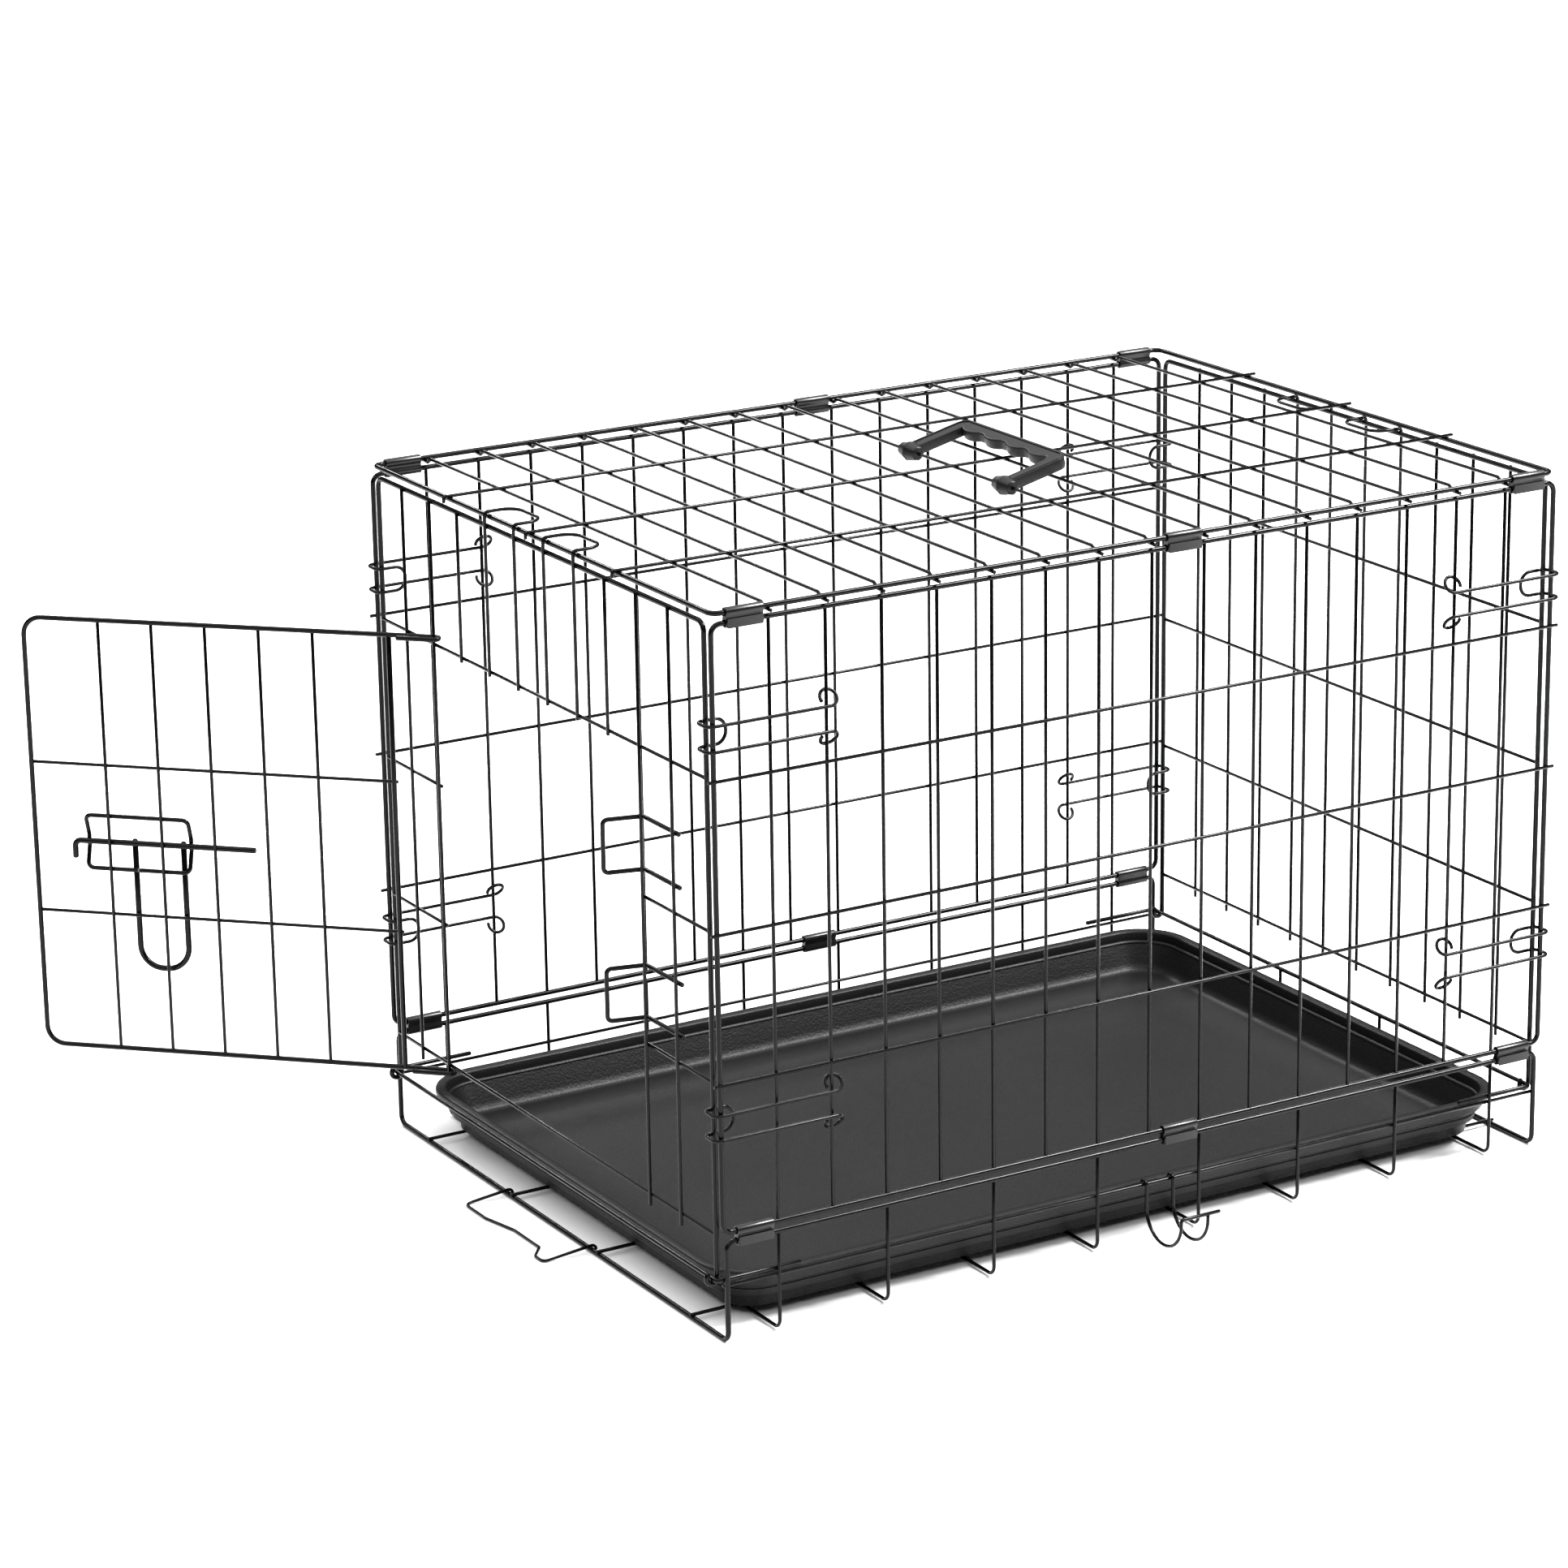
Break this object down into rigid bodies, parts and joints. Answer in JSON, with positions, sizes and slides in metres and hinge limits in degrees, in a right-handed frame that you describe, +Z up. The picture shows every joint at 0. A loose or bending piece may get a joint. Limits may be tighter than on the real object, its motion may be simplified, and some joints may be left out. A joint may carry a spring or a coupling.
{
  "type": "wire dog crate",
  "caption": "Folding wire dog crate with an end door on wire hinges, a slide bolt, a pull-out plastic tray, a tray gate, a folding far end and a carry handle.",
  "frame": {"origin": "on the floor, under the middle of the overall box with the door open", "axes": "+X along the crate's long side from the door end to the far end, +Y from the front long side to the back one, +Z up"},
  "size_m": [0.8178, 0.5906, 0.4671],
  "materials": {
    "coated_wire": "glossy black electro-coated steel wire",
    "clip_sheet": "satin black painted pressed steel",
    "tray_plastic": "black moulded plastic with a fine leather grain",
    "handle_plastic": "matte black moulded plastic"
  },
  "bodies": {
    "crate": {"base_frame": "coated_wire", "side_panel_front": "coated_wire", "side_panel_back": "coated_wire", "top_panel": "coated_wire", "end_panel_door": "coated_wire", "hinge_clip_bottom_front_door": "clip_sheet", "hinge_clip_bottom_front_middle": "clip_sheet", "hinge_clip_bottom_front_far": "clip_sheet", "hinge_clip_bottom_back_door": "clip_sheet", "hinge_clip_bottom_back_middle": "clip_sheet", "hinge_clip_bottom_back_far": "clip_sheet", "hinge_clip_top_front_door": "clip_sheet", "hinge_clip_top_front_middle": "clip_sheet", "hinge_clip_top_front_far": "clip_sheet", "hinge_clip_top_back_door": "clip_sheet", "hinge_clip_top_back_middle": "clip_sheet", "hinge_clip_top_back_far": "clip_sheet", "corner_hook_door_front_lower": "coated_wire", "corner_hook_door_front_upper": "coated_wire", "corner_hook_door_back_lower": "coated_wire", "corner_hook_door_back_upper": "coated_wire", "corner_hook_far_front_lower": "coated_wire", "corner_hook_far_front_upper": "coated_wire", "corner_hook_far_back_lower": "coated_wire", "corner_hook_far_back_upper": "coated_wire", "bolt_keeper_lower": "coated_wire", "bolt_keeper_upper": "coated_wire"},
    "far_end": {"end_panel_far": "coated_wire"},
    "door": {"door_panel": "coated_wire", "bolt_guide": "coated_wire"},
    "bolt": {"slide_bolt": "coated_wire"},
    "tray": {"tray": "tray_plastic"},
    "gate": {"tray_gate": "coated_wire"},
    "handle": {"carry_handle": "handle_plastic"},
    "fold_hook": {"fold_lock_hook": "coated_wire"}
  },
  "joints": [
    {"name": "door_hinge", "type": "hinge", "parent": "crate", "child": "door", "pos_m": [-0.20956, 0.09624, 0], "axis": [0, 0, 1], "range_deg": [-31, 134]},
    {"name": "bolt_slide", "type": "slide", "parent": "door", "child": "bolt", "axis": [-0.7193, 0.6947, 0], "range_m": [0, 0.027]},
    {"name": "far_end_fold", "type": "hinge", "parent": "crate", "child": "far_end", "pos_m": [0.39919, -0.03739, 0.041], "axis": [0, -1, 0], "range_deg": [0, 88]},
    {"name": "tray_slide", "type": "slide", "parent": "crate", "child": "tray", "axis": [-1, 0, 0], "range_m": [0, 0.55]},
    {"name": "tray_gate_hinge", "type": "hinge", "parent": "crate", "child": "gate", "pos_m": [-0.20471, -0.03739, 0.00147], "axis": [0, -1, 0], "range_deg": [-90, 0]},
    {"name": "handle_swing", "type": "hinge", "parent": "crate", "child": "handle", "pos_m": [0.09779, -0.03739, 0.45185], "axis": [0, -1, 0], "range_deg": [0, 150]},
    {"name": "fold_hook_swing", "type": "hinge", "parent": "crate", "child": "fold_hook", "pos_m": [0.09779, -0.25359, 0.0372], "axis": [-1, 0, 0], "range_deg": [0, 80]}
  ]
}
